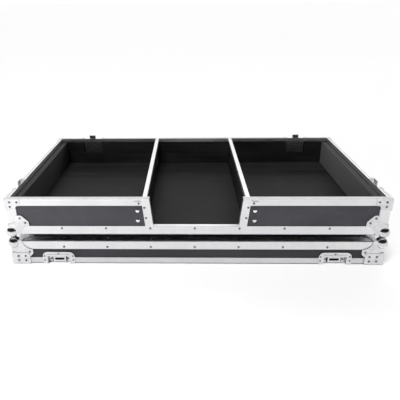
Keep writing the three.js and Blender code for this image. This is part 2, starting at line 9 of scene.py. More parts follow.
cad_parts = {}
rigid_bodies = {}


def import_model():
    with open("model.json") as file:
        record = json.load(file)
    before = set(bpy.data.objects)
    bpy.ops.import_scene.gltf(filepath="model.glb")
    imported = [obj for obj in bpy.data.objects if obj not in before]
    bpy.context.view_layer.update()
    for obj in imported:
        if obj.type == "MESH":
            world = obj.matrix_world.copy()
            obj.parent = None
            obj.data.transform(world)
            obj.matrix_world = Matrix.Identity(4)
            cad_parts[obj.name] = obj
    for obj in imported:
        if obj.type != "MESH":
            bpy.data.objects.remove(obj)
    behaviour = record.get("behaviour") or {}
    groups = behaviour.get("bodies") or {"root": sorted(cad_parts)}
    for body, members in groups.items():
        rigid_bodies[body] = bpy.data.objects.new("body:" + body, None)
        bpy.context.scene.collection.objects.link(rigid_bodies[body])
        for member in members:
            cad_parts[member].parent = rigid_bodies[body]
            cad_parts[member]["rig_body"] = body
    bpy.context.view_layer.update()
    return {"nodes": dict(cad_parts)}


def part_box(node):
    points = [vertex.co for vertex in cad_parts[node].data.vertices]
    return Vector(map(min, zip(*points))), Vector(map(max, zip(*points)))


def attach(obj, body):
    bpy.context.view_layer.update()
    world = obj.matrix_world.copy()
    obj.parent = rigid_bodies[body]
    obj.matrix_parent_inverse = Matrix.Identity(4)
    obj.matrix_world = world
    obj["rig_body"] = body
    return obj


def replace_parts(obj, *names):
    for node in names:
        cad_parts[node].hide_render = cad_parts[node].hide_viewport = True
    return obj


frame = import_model()
nodes = frame["nodes"]
MM = 0.001

# How far each side is turned from the front, and how each corner is mirrored from the front right one
SIDES = {"front": 0, "right": math.pi / 2, "back": math.pi, "left": -math.pi / 2}
CORNERS = {"front_left": (-1, 1), "front_right": (1, 1), "back_left": (-1, -1), "back_right": (1, -1)}

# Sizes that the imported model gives
angle_low, angle_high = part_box("base_angle_frame")
half_width = angle_high.x
half_depth = angle_high.y
base_bottom = angle_low.z
base_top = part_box("base_rim_frame")[1].z
lid_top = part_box("lid_angle_frame")[1].z
reach_of = {"front": half_depth, "back": half_depth, "left": half_width, "right": half_width}
half_length_of = {"front": half_width, "back": half_width, "left": half_depth, "right": half_depth}

# Sizes shared by the metalwork: a plate's thickness, the gap under it, and how far it stands proud
metal = 1.5 * MM
gap = 0.3 * MM
skin = metal + gap
angle_leg = 27.5 * MM

# How far the edges of each kind of piece are rounded
edge_softness = 0.45 * MM
panel_softness = 0.3 * MM
divider_softness = 0.4 * MM
rim_softness = 0.35 * MM
cap_softness = 0.6 * MM
pressed_softness = 0.5 * MM
wing_softness = 0.6 * MM
claw_softness = 0.4 * MM
handle_dish_softness = 0.7 * MM
bail_softness = 0.8 * MM
foam_softness = 2.2 * MM

# Widths that are welded or closed up, the digits that tell points apart, and the angles that count as flat,
# as smooth and as an edge to round
weld_width = 0.01 * MM
sliver_width = 0.003 * MM
point_digits = 7
flat_angle = math.radians(0.7)
smooth_angle = math.radians(32)
round_angle = math.radians(28)


# Mesh helpers

def new_object(name, data):
    obj = bpy.data.objects.new(name, data)
    bpy.context.scene.collection.objects.link(obj)
    return obj


def add_object(name, mesh, materials, body):
    """Shows a mesh as an object that rides on a body."""
    obj = new_object(name, mesh)
    mesh.materials.clear()
    for material in materials:
        mesh.materials.append(material)
    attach(obj, body)
    return obj


def mesh_from(bm, name):
    mesh = bpy.data.meshes.new(name)
    bm.normal_update()
    bm.to_mesh(mesh)
    bm.free()
    return mesh


def scratch(bm, name):
    """An object to join or cut with."""
    return new_object(name, mesh_from(bm, name))


def settled(obj):
    """Applies an object's modifiers to its mesh."""
    graph = bpy.context.evaluated_depsgraph_get()
    mesh = bpy.data.meshes.new_from_object(obj.evaluated_get(graph))
    old = obj.data
    obj.modifiers.clear()
    obj.data = mesh
    bpy.data.meshes.remove(old)
    return obj


def shade(mesh, angle=smooth_angle):
    """Smooth shading that keeps the edges sharper than an angle."""
    mesh.polygons.foreach_set("use_smooth", [True] * len(mesh.polygons))
    mesh.set_sharp_from_angle(angle=angle)
    return mesh


def merge_slivers(mesh):
    """Closes up the faces that have no width."""
    bm = bmesh.new()
    bm.from_mesh(mesh)
    bmesh.ops.remove_doubles(bm, verts=bm.verts, dist=sliver_width)
    bmesh.ops.dissolve_degenerate(bm, edges=bm.edges, dist=sliver_width)
    bm.to_mesh(mesh)
    bm.free()


def soften(obj, width, segments=2, angle=round_angle):
    """Rounds the edges of an object sharper than an angle."""
    bevel = obj.modifiers.new("edges", "BEVEL")
    bevel.limit_method = "ANGLE"
    bevel.angle_limit = angle
    bevel.width = width
    bevel.segments = segments
    bevel.miter_outer = "MITER_ARC"
    bevel.use_clamp_overlap = True
    bevel.harden_normals = False
    settled(obj)
    merge_slivers(obj.data)
    shade(obj.data)
    weighted = obj.modifiers.new("normals", "WEIGHTED_NORMAL")
    weighted.keep_sharp = True
    weighted.weight = 80
    return settled(obj)


def boolean(obj, other, operation):
    """Joins another object to this one, or cuts it out, and removes the other."""
    modifier = obj.modifiers.new("join", "BOOLEAN")
    modifier.operation = operation
    modifier.solver = "EXACT"
    modifier.object = other
    settled(obj)
    bpy.data.objects.remove(other)


def put_in_order(mesh):
    """Rebuilds a mesh in the order of its points in space, as booleans leave another order in each run."""
    spots = [tuple(round(value, point_digits) for value in vert.co) for vert in mesh.vertices]
    order = sorted(range(len(spots)), key=spots.__getitem__)
    new_index = {old: new for new, old in enumerate(order)}
    points = [mesh.vertices[i].co.copy() for i in order]
    faces = []
    for face in mesh.polygons:
        loop = [new_index[i] for i in face.vertices]
        start = loop.index(min(loop))
        faces.append(loop[start:] + loop[:start])
    mesh.clear_geometry()
    mesh.from_pydata(points, [], sorted(faces))


def split(obj, height):
    """Splits an object's faces along a level line."""
    bm = bmesh.new()
    bm.from_mesh(obj.data)
    bmesh.ops.bisect_plane(bm, geom=bm.verts[:] + bm.edges[:] + bm.faces[:], plane_co=(0, 0, height),
                           plane_no=(0, 0, 1))
    bm.to_mesh(obj.data)
    bm.free()


def finish_by_face(obj, choose):
    """Gives each face the finish that choose(face centre, normal) names by number."""
    for face in obj.data.polygons:
        face.material_index = choose(face.center, face.normal)


def box_mesh(low, high):
    bm = bmesh.new()
    bmesh.ops.create_cube(bm, size=1)
    size = Vector(high) - Vector(low)
    middle = (Vector(high) + Vector(low)) / 2
    bmesh.ops.transform(bm, matrix=Matrix.Translation(middle) @ Matrix.Diagonal((*size, 1)), verts=bm.verts)
    return bm


def lathe(profile, turns=20):
    """A closed solid turned about Z from radius and height pairs that start and end on the axis."""
    bm = bmesh.new()
    rings = []
    for radius, height in profile:
        ring = []
        for i in range(1 if radius == 0 else turns):
            angle = math.tau * i / turns
            ring.append(bm.verts.new((radius * math.cos(angle), radius * math.sin(angle), height)))
        rings.append(ring)
    for low, high in zip(rings, rings[1:]):
        for i in range(turns):
            corners = [low[i % len(low)], low[(i + 1) % len(low)],
                       high[(i + 1) % len(high)], high[i % len(high)]]
            bm.faces.new(list(dict.fromkeys(corners)))
    bmesh.ops.recalc_face_normals(bm, faces=bm.faces)
    return bm


def tube(points, across, radius, sides):
    """A closed round bar along points in one plane, which the direction across is square to."""
    bm = bmesh.new()
    rings = []
    for i, point in enumerate(points):
        before = points[max(i - 1, 0)]
        after = points[min(i + 1, len(points) - 1)]
        out = (after - before).normalized().cross(across)
        rings.append([bm.verts.new(point + radius * (math.cos(a) * out + math.sin(a) * across))
                      for a in (math.tau * k / sides for k in range(sides))])
    for low, high in zip(rings, rings[1:]):
        for k in range(sides):
            bm.faces.new([low[k], low[(k + 1) % sides], high[(k + 1) % sides], high[k]])
    bm.faces.new(rings[0][::-1])
    bm.faces.new(rings[-1])
    bmesh.ops.recalc_face_normals(bm, faces=bm.faces)
    return bm


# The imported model's nodes and sides

def clean_copy(node):
    """The node's mesh with its flat faces whole again."""
    bm = bmesh.new()
    bm.from_mesh(nodes[node].data)
    bmesh.ops.remove_doubles(bm, verts=bm.verts, dist=weld_width)
    bmesh.ops.dissolve_limit(bm, angle_limit=flat_angle, verts=bm.verts, edges=bm.edges)
    return mesh_from(bm, node + "_fine")


def body_of_node(node):
    return nodes[node]["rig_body"]


def middle_of(node):
    low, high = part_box(node)
    return (low + high) / 2


def refined(node, *materials, width=edge_softness, segments=2, change=None):
    """A node's form with softened edges and a finish, shown in its place."""
    obj = add_object(node + "_fine", clean_copy(node), materials, body_of_node(node))
    if change:
        change(obj)
    soften(obj, width, segments)
    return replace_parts(obj, node)


def turned(side, vector):
    """A vector of the front side, turned to another side."""
    return Matrix.Rotation(SIDES[side], 3, "Z") @ Vector(vector)


def outward(side):
    return turned(side, (0, -1, 0))


def on_side(side, along, height, out):
    """A point on one side of the case, out from its metal face, and the way that it faces."""
    return turned(side, (along, -reach_of[side] - out, height)), outward(side)


# Finishes

def grey(level, blue):
    """A grey with a little more blue in it."""
    return level, level, level + blue


class Shading:
    """A tree of shader nodes in the making."""

    def __init__(self, owner):
        owner.use_nodes = True
        self.owner = owner
        self.tree = owner.node_tree

    def node(self, kind, sockets, **settings):
        node = self.tree.nodes.new(kind)
        for name, value in settings.items():
            setattr(node, name, value)
        for name, value in sockets.items():
            if isinstance(value, bpy.types.NodeSocket):
                self.tree.links.new(value, node.inputs[name])
            else:
                node.inputs[name].default_value = value
        return node

    def place(self, kind="Object"):
        return self.node("ShaderNodeTexCoord", {}).outputs[kind]

    def math(self, operation, *values):
        return self.node("ShaderNodeMath", dict(enumerate(values)), operation=operation).outputs[0]

    def stretched(self, place, scale):
        return self.node("ShaderNodeMapping", {"Vector": place, "Scale": scale}).outputs[0]

    def noise(self, place, scale, detail=3.0, roughness=0.55):
        sockets = {"Vector": place, "Scale": scale, "Detail": detail, "Roughness": roughness}
        return self.node("ShaderNodeTexNoise", sockets).outputs["Fac"]

    def remap(self, value, span, to=(0.0, 1.0)):
        """Spreads a span of values over another span, clamped at its ends."""
        sockets = {"Value": value, "From Min": span[0], "From Max": span[1], "To Min": to[0], "To Max": to[1]}
        return self.node("ShaderNodeMapRange", sockets, clamp=True).outputs["Result"]

    def blend(self, share, first, second):
        node = self.node("ShaderNodeMix", {}, data_type="RGBA")
        self.tree.links.new(share, node.inputs["Factor"])
        for socket, value in ((node.inputs[6], first), (node.inputs[7], second)):
            if isinstance(value, bpy.types.NodeSocket):
                self.tree.links.new(value, socket)
            else:
                socket.default_value = (*value, 1)
        return node.outputs[2]

    def bump(self, height, distance, strength=1.0, under=None):
        sockets = {"Height": height, "Distance": distance, "Strength": strength}
        if under is not None:
            sockets["Normal"] = under
        return self.node("ShaderNodeBump", sockets).outputs["Normal"]


class Finish(Shading):
    """A material: a Principled shader and the nodes that feed it."""

    def __init__(self, name, **values):
        super().__init__(bpy.data.materials.new(name))
        self.shader = self.tree.nodes["Principled BSDF"]
        for socket, value in values.items():
            self.shader.inputs[socket.replace("_", " ")].default_value = value

    def feed(self, **sources):
        for socket, source in sources.items():
            self.tree.links.new(source, self.shader.inputs[socket.replace("_", " ")])
        return self.owner


def grain_place(finish, grain):
    """Coordinates drawn out along the bars: grain is x, y, z, or ring for bars that go round the case."""
    along, across = 5.0, 900.0
    place = finish.place()
    if grain != "ring":
        scale = [along if axis == grain else across for axis in "xyz"]
        return finish.stretched(place, scale)
    parts = finish.node("ShaderNodeSeparateXYZ", {"Vector": place}).outputs
    side_room = finish.math("SUBTRACT", half_width, finish.math("ABSOLUTE", parts["X"]))
    end_room = finish.math("SUBTRACT", half_depth, finish.math("ABSOLUTE", parts["Y"]))
    lengthwise = finish.math("GREATER_THAN", side_room, end_room)
    scale_x = finish.remap(lengthwise, (0.0, 1.0), to=(across, along))
    scale_y = finish.remap(lengthwise, (0.0, 1.0), to=(along, across))
    return finish.node("ShaderNodeCombineXYZ", {
        "X": finish.math("MULTIPLY", parts["X"], scale_x),
        "Y": finish.math("MULTIPLY", parts["Y"], scale_y),
        "Z": finish.math("MULTIPLY", parts["Z"], across),
    }).outputs[0]


def aluminium(name, grain, level=0.73):
    """Satin extrusion: drawn lines along the bar, cloudy handling marks and a few scuffs."""
    middle = grey(level, 0.012)
    light = grey(level + 0.08, 0.01)
    dark = grey(level - 0.04, 0.012)
    scuff = (0.4, 0.42, 0.43)
    line_depth = 0.02 * MM
    finish = Finish(name, Metallic=1.0)
    drawn = finish.noise(grain_place(finish, grain), scale=1.0, detail=4.0, roughness=0.6)
    clouds = finish.noise(finish.place(), scale=14.0, detail=4.0, roughness=0.6)
    specks = finish.noise(finish.place(), scale=260.0, detail=5.0, roughness=0.7)
    tone = finish.blend(finish.remap(drawn, (0.3, 0.7)), middle, light)
    tone = finish.blend(finish.remap(clouds, (0.35, 0.75), to=(0.0, 0.5)), tone, dark)
    tone = finish.blend(finish.remap(specks, (0.62, 0.72), to=(0.0, 0.25)), tone, scuff)
    rough = finish.math("ADD", finish.remap(drawn, (0.25, 0.75), to=(0.26, 0.36)),
                        finish.remap(clouds, (0.3, 0.7), to=(0.0, 0.1)))
    return finish.feed(Base_Color=tone, Roughness=rough, Normal=finish.bump(drawn, line_depth))


def rubbed():
    """Metal gone matte where it is cut and where hands and cases rub it."""
    light = grey(0.61, 0.01)
    dark = grey(0.52, 0.01)
    scuff_depth = 0.02 * MM
    finish = Finish("rubbed_metal", Metallic=0.2)
    scuffs = finish.noise(finish.place(), scale=180.0, detail=5.0, roughness=0.65)
    clouds = finish.noise(finish.place(), scale=20.0)
    tone = finish.blend(finish.remap(scuffs, (0.35, 0.7)), light, dark)
    rough = finish.remap(clouds, (0.3, 0.7), to=(0.5, 0.65))
    return finish.feed(Base_Color=tone, Roughness=rough, Normal=finish.bump(scuffs, scuff_depth))


def zinc(name, dark, light, smooth, rough):
    """Plated pressed steel: faint spangle, orange peel and fingered patches."""
    spangle_share = 0.35
    cloud_share = 0.75
    peel_depth = 0.02 * MM
    finish = Finish(name, Metallic=1.0)
    place = finish.place()
    cells = finish.node("ShaderNodeTexVoronoi", {"Vector": place, "Scale": 120.0})
    spangle = finish.node("ShaderNodeSeparateColor", {"Color": cells.outputs["Color"]}).outputs[0]
    clouds = finish.noise(place, scale=35.0, detail=4.0, roughness=0.6)
    peel = finish.noise(place, scale=420.0, detail=2.0, roughness=0.5)
    mixed = finish.math("MULTIPLY_ADD", spangle, spangle_share, finish.math("MULTIPLY", clouds, cloud_share))
    tone = finish.blend(finish.remap(mixed, (0.25, 0.8)), dark, light)
    gloss = finish.remap(mixed, (0.2, 0.85), to=(rough, smooth))
    return finish.feed(Base_Color=tone, Roughness=gloss, Normal=finish.bump(peel, peel_depth))


def laminate(name, low, high):
    """Charcoal laminate with a fine pebble, dusty patches and faint rub marks."""
    pit_shade = grey(0.024, 0.004)
    rub = grey(0.11, 0.008)
    fine_depth = 0.05 * MM
    pebble_depth = 0.22 * MM
    finish = Finish(name, Specular_IOR_Level=0.2)
    place = finish.place()
    pebble = finish.node("ShaderNodeTexVoronoi", {"Vector": place, "Scale": 620.0, "Smoothness": 0.6},
                         feature="SMOOTH_F1").outputs["Distance"]
    fine = finish.noise(place, scale=1500.0)
    clouds = finish.noise(place, scale=9.0, detail=5.0, roughness=0.6)
    rubs = finish.noise(finish.stretched(place, (6.0, 6.0, 90.0)), scale=1.0, detail=4.0, roughness=0.65)
    tone = finish.blend(finish.remap(clouds, (0.3, 0.7)), low, high)
    # The pebble's pits are darker: painted shade
    tone = finish.blend(finish.remap(pebble, (0.1, 0.7), to=(0.35, 0.0)), tone, pit_shade)
    tone = finish.blend(finish.remap(rubs, (0.6, 0.75), to=(0.0, 0.18)), tone, rub)
    rough = finish.remap(clouds, (0.3, 0.7), to=(0.44, 0.56))
    relief = finish.bump(fine, fine_depth, 0.5, finish.bump(pebble, pebble_depth, 0.7))
    return finish.feed(Base_Color=tone, Roughness=rough, Normal=relief)


def lining(name, grain):
    """Black-stained plywood inside the case, its grain still showing."""
    stain = grey(0.007, 0.0005)
    bare = (0.02, 0.0195, 0.0195)
    dusty = grey(0.028, 0.001)
    pore_depth = 0.12 * MM
    pore_scale = 6
    finish = Finish(name, Specular_IOR_Level=0.12)
    scale = [3.0 if axis == grain else 70.0 for axis in "xyz"]
    fibres = finish.noise(finish.stretched(finish.place(), scale), scale=1.0, detail=6.0, roughness=0.65)
    pores = finish.noise(finish.stretched(finish.place(), [k * pore_scale for k in scale]), scale=1.0,
                         detail=3.0, roughness=0.6)
    clouds = finish.noise(finish.place(), scale=11.0)
    tone = finish.blend(finish.remap(fibres, (0.3, 0.7)), stain, bare)
    tone = finish.blend(finish.remap(clouds, (0.5, 0.8), to=(0.0, 0.35)), tone, dusty)
    rough = finish.remap(fibres, (0.3, 0.7), to=(0.5, 0.68))
    return finish.feed(Base_Color=tone, Roughness=rough, Normal=finish.bump(pores, pore_depth, 0.6))


def foam_finish():
    """Closed-cell foam: open skin of small cells over soft mottling."""
    cell_dark = grey(0.012, 0.001)
    cell_light = grey(0.04, 0.002)
    dusty = grey(0.05, 0.002)
    mottle_depth = 0.5 * MM
    cell_depth = 0.35 * MM
    finish = Finish("foam", Specular_IOR_Level=0.2, Sheen_Weight=0.15)
    place = finish.place()
    cells = finish.node("ShaderNodeTexVoronoi", {"Vector": place, "Scale": 480.0}).outputs["Distance"]
    mottle = finish.noise(place, scale=60.0, detail=5.0, roughness=0.6)
    # The cells' hollows are darker: painted shade
    tone = finish.blend(finish.remap(cells, (0.0, 0.6)), cell_dark, cell_light)
    tone = finish.blend(finish.remap(mottle, (0.4, 0.7), to=(0.0, 0.5)), tone, dusty)
    rough = finish.remap(mottle, (0.3, 0.7), to=(0.85, 0.98))
    relief = finish.bump(mottle, mottle_depth, 0.5, finish.bump(cells, cell_depth, 0.8))
    return finish.feed(Base_Color=tone, Roughness=rough, Normal=relief)


def rubber():
    """Moulded black rubber with a dull bloom."""
    dark = grey(0.013, 0.001)
    light = grey(0.035, 0.002)
    bloom_depth = 0.1 * MM
    finish = Finish("rubber", Specular_IOR_Level=0.4)
    bloom = finish.noise(finish.place(), scale=90.0, detail=4.0, roughness=0.6)
    tone = finish.blend(finish.remap(bloom, (0.35, 0.7)), dark, light)
    rough = finish.remap(bloom, (0.3, 0.7), to=(0.45, 0.65))
    return finish.feed(Base_Color=tone, Roughness=rough, Normal=finish.bump(bloom, bloom_depth, 0.5))


edging = aluminium("edging_ring", "ring")
# A darker aluminium for the lid's rim: painted shade
edging_painted_shade = aluminium("edging_painted_shade", "ring", level=0.6)
edging_upright = aluminium("edging_upright", "z")
edging_crosswise = aluminium("edging_crosswise", "y")
edging_lengthwise = aluminium("edging_lengthwise", "x")
pressed = zinc("pressed_zinc", grey(0.6, 0.015), grey(0.735, 0.012), 0.13, 0.24)
plated = zinc("plated_steel", grey(0.5, 0.01), grey(0.66, 0.01), 0.2, 0.32)
polished = zinc("polished_steel", grey(0.72, 0.01), grey(0.85, 0.01), 0.05, 0.1)
# Near-black for the holes in rivet and screw heads: painted shade in the holes
hole_shade = zinc("fastener_hole_shade", grey(0.03, 0.001), grey(0.07, 0.002), 0.35, 0.5)
# A darker zinc for the pans of the dishes: painted shade
pan_shade_zinc = zinc("pan_painted_shade", grey(0.42, 0.01), grey(0.58, 0.01), 0.26, 0.4)
# A dark zinc for the heads of rivets and screws, where it stands in for the dark that their domes mirror, and
# for the keepers' pan walls, where it stands in for the pan's shade: painted shade
fastener_and_pan_shade = zinc("fastener_and_pan_shade", grey(0.2, 0.005), grey(0.33, 0.005), 0.22, 0.34)
# Near-black metal for the lid rim's foot: painted shade of the floor contact and the tongue's recess
foot_shade_metal = zinc("foot_painted_shade", grey(0.13, 0.005), grey(0.22, 0.005), 0.35, 0.5)
matte = rubbed()
charcoal = laminate("laminate", grey(0.046, 0.007), grey(0.063, 0.008))
# A darker copy of the laminate for the lid's panels: painted shade
charcoal_lid_shade = laminate("laminate_lid_painted_shade", grey(0.026, 0.004), grey(0.036, 0.005))
# Black-stained ply inside the case; the x-grained one also blacks the hollows behind the keepers' slots and
# slits, a painted shadow
stained_ply_and_slot_shade = {"x": lining("stained_ply_x_and_slot_shade", "x"), "y": lining("stained_ply_y", "y")}
soft_black = foam_finish()
grip_black = rubber()


# Panels: laminate outside, stained ply inside and on the edges

panel_facing = 0.6


def panel(node, facing, grain):
    # The lid's panels take the darker laminate: painted shade
    outside = charcoal_lid_shade if node.startswith("lid") else charcoal
    obj = refined(node, outside, stained_ply_and_slot_shade[grain], width=panel_softness)
    finish_by_face(obj, lambda centre, normal: int(normal.dot(facing) <= panel_facing))


panel("base_floor_panel", Vector((0, 0, -1)), "x")
panel("lid_top_panel", Vector((0, 0, 1)), "x")
for side in ("left", "right"):
    panel("base_front_panel_" + side, outward("front"), "x")
for half in ("lid", "base"):
    for side in SIDES:
        if f"{half}_{side}_panel" in nodes:
            panel(f"{half}_{side}_panel", outward(side), "x" if side in ("front", "back") else "y")
for side in ("left", "right"):
    refined("bay_divider_" + side, stained_ply_and_slot_shade["y"], width=divider_softness)


# Edging: the lid's rim is darker than the base's and darker still at its foot, both painted shade, and the
# base's is rubbed on the rounded edges of its lip

foot_shade_height = 3.4 * MM
lip_height = 2.5 * MM
lip_steep, lip_flat = 0.15, 0.97


def on_lip(centre, normal):
    return int(lip_steep < normal.z < lip_flat and centre.z > base_top - lip_height)


def angle_frame(node, upright_low, upright_high):
    """A frame whose bars go round the case, with upright bars between two heights."""
    obj = refined(node, edging, edging_upright)
    finish_by_face(obj, lambda centre, normal: int(upright_low < centre.z < upright_high))


# The lid rim's faces below the foot height take the near-black metal: painted shade along its foot
lid_rim = refined("lid_rim_frame", edging_painted_shade, foot_shade_metal, width=rim_softness,
                  change=lambda obj: split(obj, foot_shade_height))
finish_by_face(lid_rim, lambda centre, normal: int(centre.z < foot_shade_height))
base_rim = refined("base_rim_frame", edging, matte, width=rim_softness)
finish_by_face(base_rim, on_lip)
angle_frame("base_angle_frame", base_bottom + angle_leg, base_top)
angle_frame("lid_angle_frame", 0, lid_top - angle_leg)
for side in ("left", "right"):
    refined("opening_trim_" + side, edging_upright)
    refined("divider_cap_" + side, edging_crosswise, width=cap_softness, segments=3)
refined("opening_sill", edging_lengthwise)


# Corner braces, rubbed on what faces up

brace_upward = 0.25

for corner in CORNERS:
    for half in ("lid", "base"):
        brace = refined(f"{half}_rim_brace_{corner}", pressed, matte, width=pressed_softness)
        finish_by_face(brace, lambda centre, normal: int(normal.z > brace_upward))


# Keepers and latches

flange_depth = 1 * MM
pan_depth = 9.3 * MM
pan_wall = 1.2 * MM
pan_half = 33 * MM
pan_top = 30.8 * MM
pan_brow = 25 * MM
strap_half = 19 * MM
strap_depth = 5.9 * MM
strap_foot = 2.5 * MM
slot_half = 14 * MM
slot_foot = 8.8 * MM
slot_top = 16.2 * MM
slit_width = 3 * MM
slit_top = 22 * MM
slit_floor = pan_depth + 0.9 * MM
hollow_floor = pan_depth + 0.4 * MM
cut_floor = pan_depth + 0.2 * MM
keeper_facing = 0.7


def dish(node, side, width=pressed_softness):
    """A pressed dish, bright on its flange and darker in its pan, where the darker zinc is painted shade."""
    facing = outward(side)
    obj = refined(node, pressed, pan_shade_zinc, width=width, segments=3)
    finish_by_face(obj, lambda centre, normal: int(centre.dot(facing) < reach_of[side] - flange_depth))


def keeper(node, side):
    """A keeper's dish: a deep brow over a low pan, and a raised strap with the claw's slot."""
    turn = Matrix.Rotation(SIDES[side], 4, "Z")
    middle = turn.inverted() @ middle_of(node)
    reach = reach_of[side]
    facing = outward(side)
    half_wall = pan_wall / 2

    def block(along, depth, height):
        bm = box_mesh((middle.x + along[0], depth[0] - reach, height[0]),
                      (middle.x + along[1], depth[1] - reach, height[1]))
        bmesh.ops.transform(bm, matrix=turn, verts=bm.verts)
        return scratch(bm, "block")

    def change(obj):
        brow = block((-pan_half - half_wall, pan_half + half_wall), (-skin, pan_depth + half_wall),
                     (pan_brow, pan_top + half_wall))
        boolean(obj, brow, "UNION")
        strap = block((-strap_half, strap_half), (strap_depth, pan_depth + half_wall),
                      (strap_foot, pan_brow + half_wall))
        boolean(obj, strap, "UNION")
        hollow = block((metal - strap_half, strap_half - metal), (strap_depth + metal, hollow_floor),
                       (strap_foot - metal, pan_brow - metal))
        boolean(obj, hollow, "DIFFERENCE")
        slot = block((-slot_half, slot_half), (strap_depth - metal, pan_depth), (slot_foot, slot_top))
        boolean(obj, slot, "DIFFERENCE")
        for sign in (-1, 1):
            slit = sorted((sign * strap_half, sign * (strap_half + slit_width)))
            boolean(obj, block(slit, (strap_depth, slit_floor), (strap_foot, slit_top)), "DIFFERENCE")

    def choose(centre, normal):
        depth = reach - centre.dot(facing)
        facing_out = normal.dot(facing) > keeper_facing
        # Floors behind the slot and the slits that face out take black-stained ply: painted shadow in the
        # hollows
        if facing_out and depth > cut_floor:
            return 2
        # Faces inside the pan that don't face out take the dark zinc: painted shade on the pan walls
        return int(depth > flange_depth and not facing_out)

    obj = refined(node, pressed, fastener_and_pan_shade, stained_ply_and_slot_shade["x"], width=pressed_softness, segments=3, change=change)
    finish_by_face(obj, choose)


keepers = {"front_left": "front", "front_right": "front", "left": "left", "right": "right"}
latches = {"back_left": "back", "back_right": "back", "left": "left", "right": "right"}
for seat, side in keepers.items():
    keeper("latch_keeper_" + seat, side)
for seat, side in latches.items():
    dish("latch_dish_" + seat, side)
    refined("latch_wing_" + seat, plated, width=wing_softness, segments=3)
    refined("latch_claw_" + seat, plated, width=claw_softness)


# Ball corners: a pressed ball run into three plates, made once and mirrored to the eight corners

ball_radius = 17.9 * MM
ball_inset = 7 * MM
ball_reach = 10.5 * MM
ball_columns = 64
ball_rows = 40
plate_reach = 62 * MM
plate_waist = 33 * MM
plate_lobe = 42 * MM
lobe_round = 8 * MM
corner_round_angle = math.radians(35)


def rounded(before, corner, after, steps=5):
    """A corner of an outline as points on an arc."""
    before, corner, after = (Vector(point) for point in (before, corner, after))
    to_before, to_after = (before - corner).normalized(), (after - corner).normalized()
    half = to_before.angle(to_after) / 2
    middle = corner + (to_before + to_after).normalized() * lobe_round / math.sin(half)
    start = to_before * lobe_round / math.tan(half) + corner - middle
    end = to_after * lobe_round / math.tan(half) + corner - middle
    turn = -start.angle_signed(end)
    shares = [k / steps for k in range(steps + 1)]
    return [tuple(middle + Matrix.Rotation(turn * share, 2) @ start) for share in shares]


def plate_outline(steps=12):
    """A ball corner's plate in the plane of two edges, from the corner's own point."""
    reach, waist, lobe = plate_reach + skin, plate_waist + skin, plate_lobe + skin
    radius = reach - waist
    first = [(reach + radius * math.cos(a), radius * math.sin(a))
             for a in (math.pi - math.pi / 2 * k / steps for k in range(steps + 1))]
    second = [(v, u) for u, v in reversed(first)]
    lobes = rounded((reach, radius), (reach, lobe), (lobe, reach))
    lobes += rounded((reach, lobe), (lobe, reach), (radius, reach))
    return [(0, 0), *first, *lobes, *second]


def plate_mesh(axes):
    """The outline in two of the corner's axes, as thick as the plate stands proud."""
    bm = bmesh.new()
    first, second, third = axes
    near, far = ([bm.verts.new(first * u + second * v + third * depth) for u, v in plate_outline()]
                 for depth in (0, skin))
    bm.faces.new(near)
    bm.faces.new(far[::-1])
    for k in range(len(near)):
        after = (k + 1) % len(near)
        bm.faces.new([near[k], near[after], far[after], far[k]])
    bmesh.ops.recalc_face_normals(bm, faces=bm.faces)
    return bm


def corner_mesh():
    """The front right corner of a half that stands on its closed side, from the corner of its metal."""
    axes = [Vector((-1, 0, 0)), Vector((0, 1, 0)), Vector((0, 0, 1))]
    start = Matrix.Translation((skin, -skin, -skin))
    ball = bmesh.new()
    bmesh.ops.create_uvsphere(ball, u_segments=ball_columns, v_segments=ball_rows, radius=ball_radius)
    bmesh.ops.translate(ball, vec=(-ball_inset, ball_inset, ball_inset), verts=ball.verts)
    made = scratch(ball, "ball")
    for turn in range(3):
        plate = plate_mesh((axes[turn], axes[(turn + 1) % 3], axes[(turn + 2) % 3]))
        bmesh.ops.transform(plate, matrix=start, verts=plate.verts)
        boolean(made, scratch(plate, "plate"), "UNION")
    far = 2 * plate_reach
    inside = box_mesh((-far, -gap, -gap), (gap, far, far))
    boolean(made, scratch(inside, "inside"), "DIFFERENCE")
    foot = box_mesh((-far, -far, -far), (far, far, -ball_reach))
    boolean(made, scratch(foot, "foot"), "DIFFERENCE")
    put_in_order(made.data)
    soften(made, pressed_softness, 3, corner_round_angle)
    mesh = made.data
    bpy.data.objects.remove(made)
    return mesh


corner_form = corner_mesh()


def ball_corner(node, place):
    mesh = corner_form.copy()
    mesh.transform(place)
    if place.determinant() < 0:
        mesh.flip_normals()
    obj = add_object(node + "_fine", mesh, [pressed], body_of_node(node))
    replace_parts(obj, node)


at_base = Matrix.Translation((half_width, -half_depth, base_bottom))
at_lid = Matrix.Translation((half_width, -half_depth, lid_top)) @ Matrix.Diagonal((1, 1, -1, 1))
for corner, (sx, sy) in CORNERS.items():
    spread = Matrix.Diagonal((sx, sy, 1, 1))
    ball_corner("base_ball_corner_" + corner, spread @ at_base)
    ball_corner("lid_ball_corner_" + corner, spread @ at_lid)


# Handles: a pressed dish, and a bail with its pins and a ribbed rubber grip

bail_radius = 3.9 * MM
bail_reach = 4.5 * MM
bail_arm = 48 * MM
bail_setback = 8 * MM
bail_headroom = 0.5 * MM
bail_round_angle = math.radians(50)
bend = 11 * MM
pin_radius = 2.5 * MM
pin_drop = 3.2 * MM
pin_start = bail_arm - 1 * MM
pin_end = bail_arm + 8.7 * MM
grip_radius = 4.45 * MM
grip_half = bail_arm - bend - 1 * MM
grip_ribs = 19
rib_steps = 4
rib_depth = 0.35 * MM
grip_smooth_angle = math.radians(60)
bar_sides = 20
pin_sides = 16
grip_sides = 24
crosswise = Vector((1, 0, 0))


